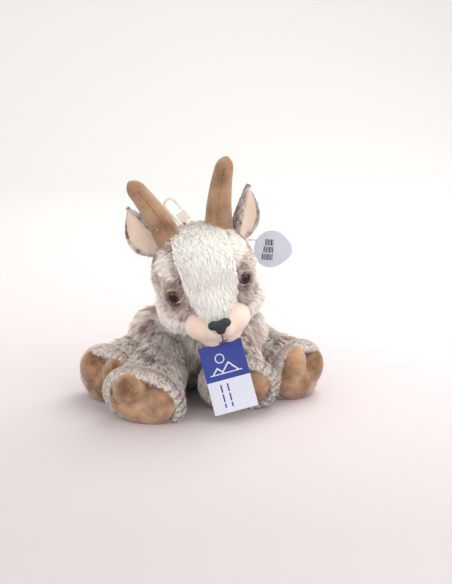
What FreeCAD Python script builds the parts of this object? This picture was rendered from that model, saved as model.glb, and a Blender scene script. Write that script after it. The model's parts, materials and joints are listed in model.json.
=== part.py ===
import FreeCAD, Part
import os
from FreeCAD import Placement, Rotation, Vector

# Plush ibex kid, sitting floppily with its four cloven feet towards -Y.
# Millimetres, +Z up, the toy faces -Y; the origin is on the flat underside of its seat.
# Fur panels are shells over their stuffing; a limb's root sits in a round hollow of the torso.

doc = FreeCAD.newDocument("PlushIbexKid")

SIZES = {
    # cloth and clearances
    "skin": 3.0,                  # fur backing with its pressed pile
    "velour": 2.0,                # short-pile cloth of soles, horns and muzzle
    "fill_gap": 0.3,              # stuffing to cloth
    "body_gap": 0.8,              # between pieces that move apart
    # torso: a ball with a flat seat
    "torso_radius": 60.0,
    "torso_y": -4.0,
    "torso_z": 43.0,
    "belly_top": 62.0,            # the belly cloth reaches this high at the front
    "belly_half_width": 30.0,
    "belly_y": -22.0,             # and this far back
    "seat_height": 9.0,
    "pouch_radius": 30.0,         # bag of beans that weighs the seat down
    "pouch_half_height": 13.0,
    "pouch_y": 4.0,
    "pouch_z": 20.0,
    # neck: a stuffed ball between torso and head
    "neck_x": 1.0,
    "neck_y": -36.0,
    "neck_z": 91.0,
    "neck_radius": 22.0,
    # head, in its own frame: face towards -Y, crown towards +Z
    "head_x": 5.5,
    "head_y": -73.0,
    "head_z": 131.0,
    "head_yaw": 8.0,
    "head_pitch": 30.0,
    "head_roll": -9.0,
    "head_radius": 48.0,
    "blaze_half_width": 24.0,
    "blaze_back": 22.0,
    "blaze_low": -14.0,
    "jowl_x": 22.0,
    "jowl_y": -20.0,
    "jowl_z": -22.0,
    "jowl_radius": 29.0,
    "muzzle_radius": 23.0,
    "muzzle_x": 9.0,              # two puffs that meet in the middle seam
    "muzzle_y": -44.0,
    "muzzle_z": -19.0,
    "mouth_radius": 5.0,
    "eye_diameter": 12.0,
    "eye_x": 32.0,
    "eye_y": -34.0,
    "eye_z": 15.0,
    "stem_radius": 1.6,
    "stem_length": 12.0,
    "washer_radius": 6.5,
    "washer_thickness": 1.4,
    "washer_depth": 10.5,         # below the button's rim
    "nose_rx": 10.5,
    "nose_ry": 5.0,
    "nose_rz": 7.5,
    "nose_y": -67.5,
    "nose_z": -8.0,
    "thread_radius": 0.7,
    # horns and ears, in the head's frame
    "horn_base_radius": 12.5,
    "horn_tip_radius": 8.0,
    "horn_length": 66.0,
    "horn_x": 23.0,
    "horn_y": 17.0,
    "horn_z": 33.0,
    "horn_lean": 12.0,            # outwards at the root
    "horn_curl": 20.0,            # more lean by the tip
    "horn_sweep": 30.0,           # backwards
    "horn_cap": 4.0,
    "ear_half_length": 27.0,
    "ear_half_width": 16.0,
    "ear_half_thickness": 6.5,
    "ear_x": 39.5,
    "ear_y": 21.0,
    "ear_z": 21.0,
    "ear_cup": 30.0,              # how far the lining turns outwards
    # limbs
    "foreleg_left_length": 74.0,
    "foreleg_right_length": 58.0,
    "foreleg_rx": 26.0,
    "foreleg_ry": 23.0,
    "hindleg_left_length": 64.0,
    "hindleg_right_length": 64.0,
    "hindleg_rx": 24.0,
    "hindleg_ry": 24.0,
    "sole_dome": 15.0,
    "sole_fit": 0.93,             # the sole's size beside the leg's rim
    "hip_hollow": 28.0,
    "leg_root": 9.0,              # how far a leg starts behind its pivot
    "tail_length": 30.0,
    "tail_rx": 10.0,
    "tail_ry": 7.0,
    "tail_lean": 62.0,
    # tags and hanger
    "card_width": 42.0,
    "card_length": 62.0,
    "card_thickness": 0.8,
    "card_hole_radius": 2.0,
    "card_hole_drop": 4.0,
    "price_card_radius": 17.0,
    "price_card_point": 26.0,
    "loop_radius": 6.0,
    "hook_thickness": 2.4,
    "hook_bend_radius": 5.5,
    "hook_shaft": 22.0,
    "hook_lip": 10.0,
    "strap_width": 10.0,
    "strap_length": 11.0,
    "strap_thickness": 0.8,
    "label_width": 18.0,
    "label_length": 38.0,
}

sheet = doc.addObject("Spreadsheet::Sheet", "Sizes")
for row, (alias, size) in enumerate(SIZES.items(), start=1):
    sheet.set(f"A{row}", alias)
    sheet.set(f"B{row}", str(size))
    sheet.setAlias(f"B{row}", alias)
doc.recompute()

SIDES = {"left": -1, "right": 1}     # the viewer's left is -X
FAR = 200.0                          # beyond the whole toy
nodes = []


def cell(alias):
    """A driving size, read from the sheet."""
    return float(sheet.get(alias))


def bind(thing, **properties):
    """Tie properties of a document object to formulas over the sheet's cells."""
    for name, formula in properties.items():
        words = str(formula).replace("[", "Sizes.").replace("]", "")
        thing.setExpression(name, words)


def place(thing, x=0.0, y=0.0, z=0.0, turn=None):
    """Set a document object down at a point with a turn."""
    thing.Placement = Placement(Vector(x, y, z), turn or Rotation())
    return thing


def ellipsoid(name, rx, ry, rz, centre=(0, 0, 0), turn=None):
    """A whole ellipsoid; each radius is a formula over the sheet."""
    egg = doc.addObject("Part::Ellipsoid", name)
    bind(egg, Radius2=rx, Radius3=ry, Radius1=rz)
    return place(egg, *centre, turn)


BACKWARD_SEAM = Rotation(Vector(0, 0, 1), 104)
LEVEL_POLES = Rotation(Vector(1, 0, 0), 90)


def ball(name, radius, centre=(0, 0, 0), turn=BACKWARD_SEAM):
    """A sphere, turned so that its seam and poles keep clear of the panel edges."""
    sphere = doc.addObject("Part::Sphere", name)
    bind(sphere, Radius=radius)
    return place(sphere, *centre, turn)


def box(name, low, high):
    """A cutting block between two corners."""
    block = doc.addObject("Part::Box", name)
    block.Length, block.Width, block.Height = [b - a for a, b in zip(low, high)]
    return place(block, *low)


def cylinder(name, radius, height, base=(0, 0, 0), turn=None):
    """A rod from its base point along its own +Z."""
    rod = doc.addObject("Part::Cylinder", name)
    bind(rod, Radius=radius, Height=height)
    return place(rod, *base, turn)


def cut(name, base, *tools):
    """Base less each tool in turn."""
    for count, tool in enumerate(tools):
        step = doc.addObject("Part::Cut", f"{name}_cut{count}")
        step.Base = base
        step.Tool = tool
        base = step
    return base


def common(name, first, second):
    """What two solids share."""
    overlap = doc.addObject("Part::Common", f"{name}_common")
    overlap.Base = first
    overlap.Tool = second
    return overlap


def fuse(name, *shapes):
    """One solid from several."""
    union = doc.addObject("Part::MultiFuse", f"{name}_fuse")
    union.Shapes = list(shapes)
    return union


def loft(name, sections):
    """A skin through ellipses: (x, y, z, turn, rx, ry), the radii as formulas."""
    rings = []
    for count, (x, y, z, turn, rx, ry) in enumerate(sections):
        ring = doc.addObject("Part::Ellipse", f"{name}_ring{count}")
        bind(ring, MajorRadius=rx, MinorRadius=ry)
        rings.append(place(ring, x, y, z, turn))
    skin = doc.addObject("Part::Loft", f"{name}_loft")
    skin.Sections = rings
    skin.Solid = True
    return skin


def keep(node, solid, placement=None):
    """Name a finished piece and set it in the toy."""
    solid.Label = node
    if placement is not None:
        solid.Placement = placement
    nodes.append(solid)
    return solid


def shell_of(name, radii, wall, centre=(0, 0, 0)):
    """Outer and inner ellipsoids of one cloth skin."""
    outer = ellipsoid(f"{name}_outer", *radii, centre)
    inner = ellipsoid(f"{name}_inner", *[f"{r} - {wall}" for r in radii], centre)
    return outer, inner


def round_shell(name, radius, wall, centre=(0, 0, 0)):
    """Outer and inner balls of one cloth skin."""
    return ball(f"{name}_outer", radius, centre), ball(f"{name}_inner", f"{radius} - {wall}", centre)


# ---- limbs' places: root pivot, direction of the leg, twist about its own axis ----

LIMBS = {
    "foreleg_left": (Vector(-32, -48, 44), Vector(-17, -72, -20), 8),
    "foreleg_right": (Vector(35.5, -46, 42), Vector(4, -62, -18), -6),
    "hindleg_left": (Vector(-54, -16, 34), Vector(-36, -56, -10), 0),
    "hindleg_right": (Vector(59.5, -4, 34), Vector(38, -51, -10), 0),
}
NECK = Vector(cell("neck_x"), cell("neck_y"), cell("neck_z"))
TAIL = Vector(4, 57.5, 36)


def limb_placement(name):
    """Leg frame: +Z along the leg, +Y upwards, origin at the root pivot."""
    pivot, along, twist = LIMBS[name]
    forward = Vector(along).normalize()
    side = forward.cross(Vector(0, 0, 1)).normalize() * -1
    up = forward.cross(side)
    return Placement(pivot, Rotation(side, up, forward, "ZXY") * Rotation(Vector(0, 0, 1), twist))


# ---- torso ----

def build_torso():
    """Ball of fur panels round its stuffing, with a bean bag low down and hollows for the limbs."""
    centre = (0, cell("torso_y"), cell("torso_z"))
    outer, inner = round_shell("torso", "[torso_radius]", "[skin]", centre)
    seat = cell("skin")
    floor_cut = box("floor_cut", (-FAR, -FAR, -FAR), (FAR, FAR, 0))
    fill_cut = box("fill_cut", (-FAR, -FAR, -FAR), (FAR, FAR, seat))
    hollow = cut("torso_hollow", inner, fill_cut)
    skin = cut("torso_skin", outer, floor_cut, hollow)

    sockets = [ball("neck_socket", "[neck_radius] + [body_gap]", tuple(NECK))]
    for name, (pivot, _, _) in LIMBS.items():
        sockets.append(ball(f"{name}_socket", "[hip_hollow]", tuple(pivot)))
    wide = cell("belly_half_width")
    belly_block = box("belly_block", (-wide, -FAR, -1), (wide, cell("belly_y"), cell("belly_top")))
    seat_block = box("seat_block", (-FAR, -FAR, -1), (FAR, FAR, cell("seat_height")))
    keep("belly_panel", cut("belly_panel", common("belly_front", skin, belly_block), *sockets))
    keep("seat_panel", cut("seat_panel", common("seat_zone", skin, seat_block), belly_block, *sockets))
    back = cut("back", skin, belly_block, seat_block)
    for side, sign in SIDES.items():
        low, high = sorted((0, sign * FAR))
        half = box(f"back_half_{side}", (low, -FAR, 0), (high, FAR, FAR))
        part = common(f"back_side_{side}", back, half)
        keep(f"back_panel_{side}", cut(f"back_panel_{side}", part, *sockets))

    fill = ball("torso_fill", "[torso_radius] - [skin] - [fill_gap]", centre)
    fill_floor = box("fill_floor", (-FAR, -FAR, -FAR), (FAR, FAR, seat + cell("fill_gap")))
    pouch_place = (0, cell("pouch_y"), cell("pouch_z"))
    pouch_size = ("[pouch_radius]", "[pouch_radius]", "[pouch_half_height]")
    pouch = ellipsoid("pouch", *pouch_size, pouch_place)
    room = ellipsoid("pouch_room", *[f"{r} + [fill_gap]" for r in pouch_size], pouch_place)
    keep("body_stuffing", cut("body_stuffing", fill, fill_floor, room, *sockets))
    keep("bean_pouch", pouch)


def build_tail():
    """Short tail at the back, its root just clear of the back."""
    radii = ("[tail_rx]", "[tail_ry]", "[tail_length] / 2")
    outer, inner = shell_of("tail", radii, "[skin]")
    fill = ellipsoid("tail_fill", *[f"{r} - [skin] - [fill_gap]" for r in radii])
    lean = Rotation(Vector(1, 0, 0), -cell("tail_lean"))
    middle = TAIL + lean.multVec(Vector(0, 0, cell("tail_length") / 2))
    keep("tail_fur", cut("tail_fur", outer, inner), Placement(middle, lean))
    keep("tail_stuffing", fill, Placement(middle, lean))


def build_neck():
    """Stuffed ball that lets the head turn and nod."""
    outer, inner = round_shell("neck", "[neck_radius]", "[skin]")
    fill = ball("neck_fill", "[neck_radius] - [skin] - [fill_gap]")
    keep("neck_cover", cut("neck_cover", outer, inner), Placement(NECK, Rotation()))
    keep("neck_stuffing", fill, Placement(NECK, Rotation()))


# ---- legs ----

LEG_PROFILE = ((0.0, 0.42), (0.12, 0.62), (0.4, 0.8), (0.72, 0.95), (1.0, 1.0))


def leg_loft(name, layer, inset, start, stop):
    """The leg's outline, inset all round, between two stations of its length."""
    kind = name.split("_")[0]
    rings = []
    for share, girth in LEG_PROFILE:
        station = start + (cell(f"{name}_length") - start + stop) * share
        rx = f"[{kind}_rx] * {girth} - ({inset})"
        ry = f"[{kind}_ry] * {girth} - ({inset}) - 0.01"
        rings.append((0, 0, station, Rotation(), rx, ry))
    return loft(f"{name}_{layer}", rings)


def build_leg(name):
    """Fur sleeve over a stuffed core, closed by a padded sole that is one solid with its padding."""
    kind = name.split("_")[0]
    seat = limb_placement(name)
    length = cell(f"{name}_length")
    root = -cell("leg_root")
    open_end = 1.0
    outer = leg_loft(name, "outer", "0", root, 0.0)
    inner = leg_loft(name, "inner", "[skin]", root + cell("skin"), open_end)
    keep(f"{name}_fur", cut(f"{name}_fur", outer, inner), seat)

    dome = [f"[{kind}_rx] * [sole_fit]", f"[{kind}_ry] * [sole_fit]", "[sole_dome]"]
    cap = ellipsoid(f"{name}_cap", *dome, (0, 0, length))
    seam = 0.2
    behind = box(f"{name}_behind", (-FAR, -FAR, -FAR), (FAR, FAR, length + seam))
    keep(f"{name}_sole", cut(f"{name}_sole", cap, behind), seat)

    gap = cell("skin") + cell("fill_gap")
    core = leg_loft(name, "core", "[skin] + 2 * [fill_gap]", root + gap, 0.0)
    keep(f"{name}_stuffing", core, seat)


# ---- head ----

HEAD = Placement(
    Vector(cell("head_x"), cell("head_y"), cell("head_z")),
    Rotation(Vector(0, 1, 0), cell("head_roll"))
    * Rotation(Vector(1, 0, 0), cell("head_pitch"))
    * Rotation(Vector(0, 0, 1), cell("head_yaw")),
)


def skull_seat(x, y, z):
    """The place on the skull's skin in the direction of a point, +Z outwards."""
    outwards = Vector(x, y, z).normalize()
    return Placement(outwards * cell("head_radius"), Rotation(Vector(0, 0, 1), outwards))


def side_half(name, sign):
    """A block that holds everything on one side of the head's middle plane."""
    low, high = sorted((0, sign * FAR))
    return box(name, (low, -FAR, -FAR), (high, FAR, FAR))


def muzzle_puff(name, radius, sign):
    """One side's puff of the muzzle, up to the middle plane."""
    at = (sign * cell("muzzle_x"), cell("muzzle_y"), cell("muzzle_z"))
    puff = ball(f"{name}_ball", radius, at, LEVEL_POLES)
    return common(f"{name}_half", puff, side_half(f"{name}_side", sign))


def fastened(name, seat, face):
    """A moulded button: its face, a stem through the skin and a locking washer inside."""
    stem = doc.addObject("Part::Cylinder", f"{name}_stem")
    bind(stem, Radius="[stem_radius]", Height="[stem_length]")
    inwards = seat.Rotation.multVec(Vector(0, 0, -1))
    stem.Placement = Placement(seat.Base + inwards * (cell("stem_length") - 1), seat.Rotation)
    keep(name, fuse(name, face, stem), HEAD)

    washer_at = seat.Base + inwards * cell("washer_depth")
    disc = cylinder(f"{name}_disc", "[washer_radius]", "[washer_thickness]", washer_at, seat.Rotation)
    bore_at = washer_at + inwards * cell("stem_length")
    bore = cylinder(f"{name}_bore", "[stem_radius] + 0.05", "[stem_length] * 2", bore_at, seat.Rotation)
    keep(f"{name}_washer", cut(f"{name}_washer", disc, bore), HEAD)

    gap = cell("fill_gap")
    shaft_at = seat.Base + inwards * (cell("stem_length") + cell("skin"))
    shaft = cylinder(f"{name}_shaft", "[stem_radius] + [fill_gap]", "[stem_length] * 2 + 2 * [skin]",
                     shaft_at, seat.Rotation)
    room = cylinder(f"{name}_room", "[washer_radius] + [fill_gap]",
                    "[washer_thickness] + 2 * [fill_gap]", washer_at + inwards * gap, seat.Rotation)
    return shaft, room


def build_face():
    """Eyes and nose; returns the room that their stems and washers need."""
    rooms = []
    shafts = []
    for side, sign in SIDES.items():
        seat = skull_seat(sign * cell("eye_x"), cell("eye_y"), cell("eye_z"))
        eye_ball = ellipsoid(f"eye_ball_{side}", "[eye_diameter] / 2", "[eye_diameter] / 2",
                             "[eye_diameter] * 0.38")
        front = box(f"eye_front_{side}", (-20, -20, 0.3), (20, 20, 20))
        face = common(f"eye_face_{side}", eye_ball, front)
        face.Placement = seat
        shaft, room = fastened(f"eye_{side}", seat, face)
        shafts.append(shaft)
        rooms.append(room)
    nose_facing = Rotation(Vector(0, 0, 1), Vector(0, -0.86, 0.5))
    seat = Placement(Vector(0, cell("nose_y"), cell("nose_z")), nose_facing)
    pad = ellipsoid("nose_pad", "[nose_rx]", "[nose_rz]", "[nose_ry]")
    front = box("nose_front", (-20, -20, 0), (20, 20, 20))
    face = common("nose_face", pad, front)
    face.Placement = seat
    shaft, room = fastened("nose", seat, face)
    return shafts + [shaft], rooms + [room]


def build_head():
    """Skull of cut fur panels, two jowls and a two-puff muzzle over one block of stuffing."""
    outer, inner = round_shell("skull", "[head_radius]", "[skin]")
    pocket = HEAD.inverse().multVec(NECK)
    socket = ball("head_socket", "[neck_radius] + [body_gap]", tuple(pocket))
    shafts, rooms = build_face()
    snout_gap = "[muzzle_radius] + [fill_gap]"
    snout = [muzzle_puff(f"snout_room_{side}", snout_gap, sign) for side, sign in SIDES.items()]
    skin = cut("head_skin", outer, inner)

    width, low, back = cell("blaze_half_width"), cell("blaze_low"), cell("blaze_back")
    blaze_zone = box("blaze_zone", (-width, -FAR, low), (width, back, FAR))
    keep("blaze_panel", cut("blaze_panel", common("blaze", skin, blaze_zone), *snout, shafts[2]), HEAD)
    crown_zone = box("crown_zone", (-FAR, back, -FAR), (FAR, FAR, FAR))
    keep("head_back_panel", cut("head_back_panel", common("crown", skin, crown_zone), socket), HEAD)
    skull_room = ball("skull_room", "[head_radius] + [fill_gap]")
    for count, (side, sign) in enumerate(SIDES.items()):
        half = side_half(f"cheek_half_{side}", sign)
        cheek = cut(f"cheek_{side}", common(f"cheek_zone_{side}", skin, half), blaze_zone, crown_zone)
        keep(f"cheek_panel_{side}", cut(f"cheek_panel_{side}", cheek, socket, *snout, shafts[count]), HEAD)

        at = (sign * cell("jowl_x"), cell("jowl_y"), cell("jowl_z"))
        jowl = common(f"jowl_half_{side}", ball(f"jowl_ball_{side}", "[jowl_radius]", at), half)
        keep(f"jowl_panel_{side}", cut(f"jowl_panel_{side}", jowl, skull_room, *snout, socket), HEAD)

        puff = muzzle_puff(f"muzzle_outer_{side}", "[muzzle_radius]", sign)
        hollow = ball(f"muzzle_hollow_{side}", "[muzzle_radius] - [velour]",
                      (sign * cell("muzzle_x"), cell("muzzle_y"), cell("muzzle_z")), LEVEL_POLES)
        keep(f"muzzle_panel_{side}", cut(f"muzzle_panel_{side}", puff, hollow, inner, shafts[2]), HEAD)

    skull_fill = ball("skull_fill", "[head_radius] - [skin] - [fill_gap]")
    fills = [muzzle_puff(f"muzzle_fill_{side}", "[muzzle_radius] - [velour] - [fill_gap]", sign)
             for side, sign in SIDES.items()]
    stuffing = fuse("head_fill", skull_fill, *fills)
    keep("head_stuffing", cut("head_stuffing", stuffing, socket, *shafts, *rooms), HEAD)


def build_mouth():
    """The sewn mouth: a short thread down the middle seam and two small turns."""
    y, z = cell("muzzle_y"), cell("muzzle_z")
    stitch = doc.addObject("Part::Torus", "stitch_ring")
    bind(stitch, Radius1="[mouth_radius]", Radius2="[thread_radius]", Angle1="-180", Angle2="180",
         Angle3="150")
    facing = Rotation(Vector(1, 0, 0), 105) * Rotation(Vector(0, 0, 1), 15)
    place(stitch, 0, y - 22.6, z - 9, facing)
    rooms = [muzzle_puff(f"stitch_room_{side}", "[muzzle_radius] + 0.05", sign)
             for side, sign in SIDES.items()]
    keep("mouth_stitch", cut("mouth_stitch", stitch, *rooms), HEAD)


def build_horn(side, sign):
    """Bent cone: rings along an arc that leans outwards and back."""
    count = 5
    root = Vector(sign * cell("horn_x"), cell("horn_y"), cell("horn_z"))
    insets = {"outer": 0.0, "inner": cell("velour"), "fill": cell("velour") + cell("fill_gap")}
    pieces = {}
    for layer, inset in insets.items():
        rings = []
        at = Vector(root)
        step = (cell("horn_length") - inset) / (count - 1)
        for ring in range(count):
            share = ring / (count - 1)
            lean = cell("horn_lean") + cell("horn_curl") * share
            back = cell("horn_sweep") - 4 * share
            turn = Rotation(Vector(0, 1, 0), sign * lean) * Rotation(Vector(1, 0, 0), -back)
            if ring:
                at = at + turn.multVec(Vector(0, 0, step))
            radius = f"[horn_base_radius] + ([horn_tip_radius] - [horn_base_radius]) * {share} - {inset}"
            rings.append((*at, turn, radius, f"({radius}) * 0.96"))
        tip = at + turn.multVec(Vector(0, 0, cell("horn_cap")))
        cap_radii = [f"[horn_tip_radius] * {share} - {inset} / 2" for share in (0.62, 0.6)]
        rings.append((*tip, turn, *cap_radii))
        pieces[layer] = loft(f"horn_{side}_{layer}", rings)
    skull = ball(f"horn_skull_{side}", "[head_radius] + [fill_gap]")
    keep(f"horn_cover_{side}", cut(f"horn_cover_{side}", pieces["outer"], pieces["inner"], skull), HEAD)
    keep(f"horn_stuffing_{side}", cut(f"horn_stuffing_{side}", pieces["fill"], skull), HEAD)


def build_ear(side, sign):
    """Leaf-shaped ear: fur behind, velour lining in front, pinched at its root."""
    radii = ("[ear_half_width]", "[ear_half_thickness]", "[ear_half_length]")
    leaf = ellipsoid(f"ear_leaf_{side}", *radii)
    seam = cell("fill_gap") / 2
    front = box(f"ear_front_{side}", (-FAR, -FAR, -FAR), (FAR, -seam, FAR))
    back = box(f"ear_behind_{side}", (-FAR, seam, -FAR), (FAR, FAR, FAR))
    inner = ellipsoid(f"ear_lining_leaf_{side}", "[ear_half_width] - [skin]",
                      "[ear_half_thickness] - 2.5", "[ear_half_length] - [skin]")
    along = Vector(sign * 22, 21, 38).normalize()
    turn = Rotation(Vector(0, 0, 1), along) * Rotation(Vector(0, 0, 1), -sign * cell("ear_cup"))
    root = Vector(sign * cell("ear_x"), cell("ear_y"), cell("ear_z"))
    middle = root + along * cell("ear_half_length")
    seat = HEAD.multiply(Placement(middle, turn))
    keep(f"ear_back_{side}", common(f"ear_back_{side}", leaf, back), seat)
    keep(f"ear_lining_{side}", common(f"ear_lining_{side}", inner, front), seat)


# ---- tags and hanger ----

CARD_TOP = Vector(21.5, -108.5, 64.5)
CARD_TURN = (Rotation(Vector(0, 1, 0), -16) * Rotation(Vector(1, 0, 0), -22)
             * Rotation(Vector(0, 0, 1), -10))
CARD_THREAD_ROOT = Vector(6, -66, 62)


def build_card_tag():
    """Printed card on a nylon filament from the front of the neck."""
    card = doc.addObject("Part::Box", "card")
    bind(card, Length="[card_width]", Width="[card_thickness]", Height="[card_length]")
    place(card, -cell("card_width") / 2, 0, cell("card_hole_drop") - cell("card_length"))
    hole = cylinder("card_hole", "[card_hole_radius]", "10", (0, 5, 0), Rotation(Vector(1, 0, 0), 90))
    keep("card_tag", cut("card_tag", card, hole), Placement(CARD_TOP, CARD_TURN))
    reach = CARD_TOP - CARD_THREAD_ROOT
    span = reach.Length + 2.6
    thread = cylinder("card_thread", "[thread_radius]", str(span))
    button = cylinder("card_thread_head", "[thread_radius] * 4", "1.0", (0, 0, span - 0.1))
    turn = Rotation(Vector(0, 0, 1), reach)
    keep("card_tag_fastener", fuse("card_tag_fastener", thread, button),
         Placement(CARD_THREAD_ROOT, turn))


PRICE_HOLE = Vector(55.5, -44, 158)
PRICE_MIDDLE = Vector(13.5, -8, 0)      # the disc's middle, seen from the hole


def build_barcode_tag():
    """Round card drawn out to a point, hung by a nylon ring at the ear's seam."""
    disc = cylinder("price_disc", "[price_card_radius]", "[card_thickness]")
    spike = doc.addObject("Part::Prism", "price_spike")
    spike.Polygon = 3
    bind(spike, Circumradius="[price_card_point]", Height="[card_thickness]")
    right_side = box("price_right_side", (0, -FAR, -FAR), (FAR, FAR, FAR))
    point = common("price_point", spike, right_side)
    hole = cylinder("price_hole", "[card_hole_radius]", "10", -PRICE_MIDDLE + Vector(0, 0, -5))
    flat = cut("barcode_card", fuse("price_flat", disc, point), hole)
    turn = Rotation(Vector(1, 0, 0), 90) * Rotation(Vector(0, 0, 1), -4)
    keep("barcode_card", flat, Placement(PRICE_HOLE + turn.multVec(PRICE_MIDDLE), turn))
    ring = doc.addObject("Part::Torus", "barcode_ring")
    bind(ring, Radius1="[loop_radius]", Radius2="[thread_radius]")
    centre = PRICE_HOLE + Vector(-cell("loop_radius"), -cell("card_thickness") / 2, 0)
    keep("barcode_loop", ring, Placement(centre, Rotation(Vector(0, 0, 1), Vector(0, 0.1, 1))))


HANGER_ROOT = Vector(-17.5, -63, 176.5)
HANGER_TURN = Rotation(Vector(0, 1, 0), -40)
STRAP_OFFSET = Vector(2.0, 1.6, -1.0)   # clear of the hook's shaft


def build_hanger():
    """Clear moulded hook, bent back over a U, and the flat sewn-in strap beside it."""
    reach = cell("hook_bend_radius")
    top = cell("hook_shaft")
    ring = doc.addObject("Part::Torus", "hook_bend")
    bind(ring, Radius1="[hook_bend_radius]", Radius2="[hook_thickness] / 2", Angle1="-180",
         Angle2="180", Angle3="180")
    place(ring, reach, 0, top, Rotation(Vector(1, 0, 0), 90))
    shaft = cylinder("hook_stem", "[hook_thickness] / 2", "[hook_shaft]")
    lip_end = (2 * reach, 0, top - cell("hook_lip"))
    lip = cylinder("hook_lip", "[hook_thickness] / 2", "[hook_lip]", lip_end)
    seat = Placement(HANGER_ROOT, HANGER_TURN)
    keep("hanger_hook", fuse("hanger_hook", ring, shaft, lip), seat)
    strap = doc.addObject("Part::Box", "strap")
    bind(strap, Length="[strap_width]", Width="[strap_thickness]", Height="[strap_length]")
    strap_at = HANGER_ROOT + HANGER_TURN.multVec(STRAP_OFFSET)
    keep("hanger_strap", strap, Placement(strap_at, HANGER_TURN))


def build_care_label():
    """Blank satin label sewn into the seam beside the tail."""
    label = doc.addObject("Part::Box", "label")
    bind(label, Length="[card_thickness]", Width="[label_length]", Height="[label_width]")
    place(label, -14, 36, 12)
    body = ball("label_room", "[torso_radius] + 0.2", (0, cell("torso_y"), cell("torso_z")))
    keep("care_label", cut("care_label", label, body))


build_torso()
build_tail()
build_neck()
for limb in LIMBS:
    build_leg(limb)
build_head()
build_mouth()
for side_name, side_sign in SIDES.items():
    build_horn(side_name, side_sign)
    build_ear(side_name, side_sign)
build_card_tag()
build_barcode_tag()
build_hanger()
build_care_label()
doc.recompute()

for thing in doc.Objects:
    if "Invalid" in thing.State or "Error" in thing.State:
        raise RuntimeError(f"{thing.Name} failed: {thing.State}")
os.makedirs("parts", exist_ok=True)
for node in nodes:
    shape = node.Shape
    if shape.isNull() or not shape.isValid() or not shape.Solids:
        raise RuntimeError(f"{node.Label} has no valid solid")
    shape.exportStep(f"parts/{node.Label}.step")
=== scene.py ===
import json
import math

import bpy
import numpy as np
from mathutils import Matrix, Quaternion, Vector, kdtree, noise


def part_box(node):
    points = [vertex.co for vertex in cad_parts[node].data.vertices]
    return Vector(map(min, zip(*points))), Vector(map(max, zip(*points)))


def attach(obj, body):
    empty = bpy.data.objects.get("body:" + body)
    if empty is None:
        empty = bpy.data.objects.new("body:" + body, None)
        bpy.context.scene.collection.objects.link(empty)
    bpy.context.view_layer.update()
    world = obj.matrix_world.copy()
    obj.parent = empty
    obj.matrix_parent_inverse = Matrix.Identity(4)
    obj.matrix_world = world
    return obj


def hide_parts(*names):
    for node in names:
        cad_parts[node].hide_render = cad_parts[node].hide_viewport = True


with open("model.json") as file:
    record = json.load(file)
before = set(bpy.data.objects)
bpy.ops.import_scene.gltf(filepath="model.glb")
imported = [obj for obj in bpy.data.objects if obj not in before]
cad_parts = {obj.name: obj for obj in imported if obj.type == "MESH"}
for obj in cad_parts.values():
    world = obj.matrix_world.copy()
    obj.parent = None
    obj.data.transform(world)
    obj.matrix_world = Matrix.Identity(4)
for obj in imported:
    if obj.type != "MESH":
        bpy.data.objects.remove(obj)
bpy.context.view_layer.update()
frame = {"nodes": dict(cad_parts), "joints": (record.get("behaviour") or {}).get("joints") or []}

# Plush ibex kid: remeshed stuffed forms under mesh-strand fur, suede soles and horns, moulded eyes
# and nose, a printed card and a price card. Lengths are millimetres until UNIT scales them.

UNIT = 0.001
SIDES = {"left": -1, "right": 1}
random_state = np.random.default_rng(20)
JOINTS = {joint["name"]: joint for joint in frame["joints"]}


# ---- places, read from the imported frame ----

def middle(node):
    """Centre of a CAD node's box, in millimetres."""
    low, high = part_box(node)
    return (low + high) / 2 / UNIT


def pivot(joint):
    return Vector(JOINTS[joint]["pos_m"]) / UNIT


def axes_matrix(x_axis, y_axis, z_axis, origin):
    turn = Matrix((x_axis, y_axis, z_axis)).transposed()
    return Matrix.Translation(origin) @ turn.to_4x4()


def head_frame():
    """The head's own axes: X to the viewer's right, face towards -Y, crown +Z, from eyes and nose."""
    left, right, nose = middle("eye_left"), middle("eye_right"), middle("nose")
    eyes = (left + right) / 2
    x_axis = (right - left).normalized()
    ahead = nose - eyes
    ahead = (ahead - x_axis * ahead.dot(x_axis)).normalized()
    square = x_axis.cross(ahead)
    eye_local, nose_local = Vector((0, -31.8, 14.0)), Vector((0, -65.5, -9.2))
    slope = (nose_local - eye_local).normalized()
    square_local = Vector((1, 0, 0)).cross(slope)
    y_axis = ahead * slope.y + square * square_local.y
    z_axis = ahead * slope.z + square * square_local.z
    turn = axes_matrix(x_axis, y_axis, z_axis, Vector())
    return Matrix.Translation(eyes - turn @ eye_local) @ turn


HEAD = head_frame()
NECK = pivot("neck_turn")


def leg_frame(name):
    """A leg's axes: +Z along it from the root to the sole, +Y upwards."""
    root = pivot(f"{name}_raise")
    low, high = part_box(f"{name}_sole")
    sole = (low + high) / 2 / UNIT
    along = (sole - root).normalized()
    side = along.cross(Vector((0, 0, 1))).normalized() * -1
    up = along.cross(side)
    return axes_matrix(side, up, along, root), (sole - root).length


# ---- camera, light and floor ----

def build_camera():
    aim = Vector((26.0, -40.0, 104.0)) * UNIT
    distance, rise, half_field = 1.05, math.radians(15.0), math.radians(12.15)
    data = bpy.data.cameras.new("camera")
    data.sensor_fit = "HORIZONTAL"
    data.lens = data.sensor_width / 2 / math.tan(half_field)
    data.clip_end = 20
    camera = link("camera", data)
    away = Vector((0, -math.cos(rise), math.sin(rise)))
    camera.location = aim + away * distance
    camera.rotation_euler = (-away).to_track_quat("-Z", "Y").to_euler()
    bpy.context.scene.camera = camera


def area_light(name, place, size, power, colour):
    data = bpy.data.lights.new(name, "AREA")
    data.size = size
    data.energy = power
    data.color = colour
    lamp = link(name, data)
    lamp.location = place
    towards_toy = Vector((0, -0.05, 0.1)) - Vector(place)
    lamp.rotation_euler = towards_toy.to_track_quat("-Z", "Y").to_euler()


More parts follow.
